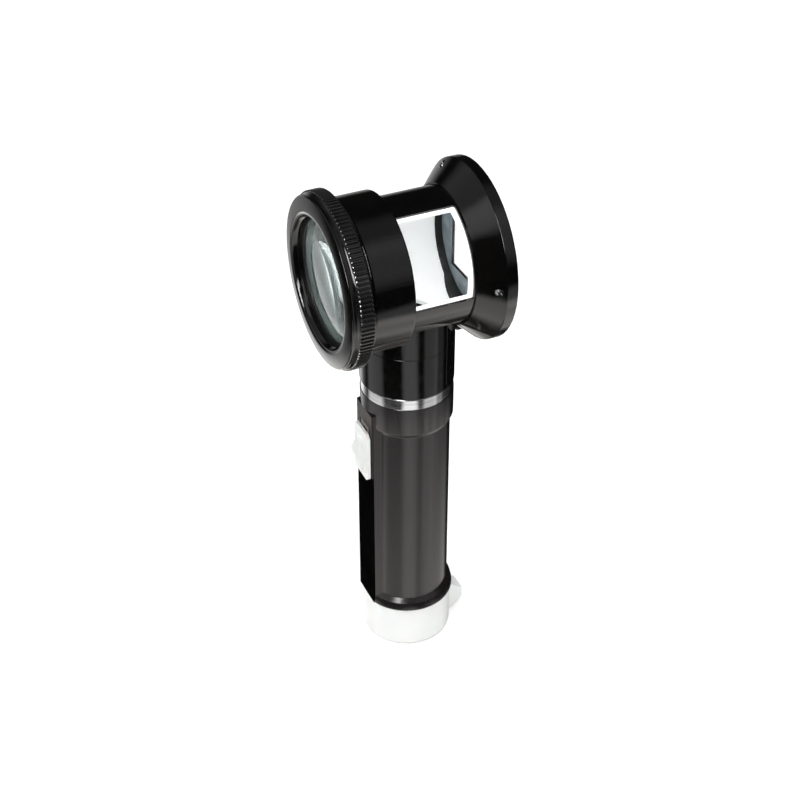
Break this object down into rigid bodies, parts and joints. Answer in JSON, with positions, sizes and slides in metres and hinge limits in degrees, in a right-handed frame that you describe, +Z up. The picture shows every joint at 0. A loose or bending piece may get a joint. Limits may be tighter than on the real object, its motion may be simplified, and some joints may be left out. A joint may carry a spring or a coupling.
{
  "type": "jewelers loupe",
  "caption": "Illuminated hand magnifier: lens head with knurled focus ring, side window and flared foot on a battery handle with slide switch and end cap.",
  "frame": {"origin": "centre of the end cap's flat bottom, on the handle axis", "axes": "+Z up the handle axis, -Y the way the eyepiece lens faces, +Y towards the flared contact foot, +X the side with the window"},
  "size_m": [0.0666, 0.0612, 0.2036],
  "materials": {
    "black_gloss": "glossy moulded",
    "black_satin": "satin",
    "strip_gloss": "polished",
    "barrel_black": "semi-gloss enamel",
    "white_plastic": "smooth moulded",
    "liner_white": "matt white",
    "grey_plastic": "ribbed matt",
    "holder_plastic": "moulded",
    "chrome": "turned and plated",
    "brass": "drawn strip",
    "steel": "bright steel",
    "lens_glass": "polished and coated",
    "scale_glass": "polished",
    "mask_tint": "printed film",
    "frosted": "frosted",
    "lamp_glass": "clear",
    "reflector": "bright aluminised",
    "cell_jacket": "plain printed sleeve"
  },
  "bodies": {
    "handle_unit": {"handle_shell": "black_satin", "spine_strip": "strip_gloss", "switch_track": "grey_plastic", "contact_strip_lower": "brass", "contact_strip_upper": "brass", "chrome_ring": "chrome", "lamp_holder": "holder_plastic", "lamp_base": "brass", "lamp_tip": "steel", "lamp_glass": "lamp_glass", "lamp_filament": "steel", "reflector": "reflector", "lower_cell_can": "cell_jacket", "lower_cell_tip": "steel", "lower_cell_base": "steel", "upper_cell_can": "cell_jacket", "upper_cell_tip": "steel", "upper_cell_base": "steel"},
    "switch_unit": {"switch_slider": "white_plastic", "switch_contact": "brass"},
    "cap_unit": {"end_cap": "white_plastic", "cap_contact": "brass", "contact_spring": "steel"},
    "head_unit": {"head_body": "black_gloss", "focus_guide_pins": "steel", "tube_liner": "liner_white", "mouth_ring": "barrel_black", "scale_mask": "mask_tint", "reticle_glass": "scale_glass", "bell": "black_gloss", "bell_screws": "steel", "neck_socket": "black_gloss", "neck_rear_cover": "black_gloss", "light_window": "frosted"},
    "eyepiece_ring": {"focus_ring": "black_gloss", "front_bezel": "black_gloss"},
    "lens_cell": {"lens_barrel": "barrel_black", "front_lens": "lens_glass", "rear_lens": "lens_glass", "lens_spacer": "barrel_black", "lens_retaining_ring": "barrel_black"}
  },
  "joints": [
    {"name": "switch_slide", "type": "slide", "parent": "handle_unit", "child": "switch_unit", "axis": [0, 0, 1], "range_m": [0, 0.004]},
    {"name": "cap_pull", "type": "slide", "parent": "handle_unit", "child": "cap_unit", "axis": [0, 0, -1], "range_m": [0, 0.03]},
    {"name": "head_lift", "type": "slide", "parent": "handle_unit", "child": "head_unit", "axis": [0, 0, 1], "range_m": [0, 0.036]},
    {"name": "focus_turn", "type": "hinge", "parent": "head_unit", "child": "eyepiece_ring", "pos_m": [0, 0, 0.1703], "axis": [0, 1, 0], "range_deg": [-135, 135]},
    {"name": "focus_slide", "type": "slide", "parent": "head_unit", "child": "lens_cell", "axis": [0, 1, 0], "range_m": [-0.0015, 0.0015]}
  ],
  "couplings": [
    {"joint": "focus_turn", "follows": "focus_slide", "rad_per_m": 1570.8}
  ]
}
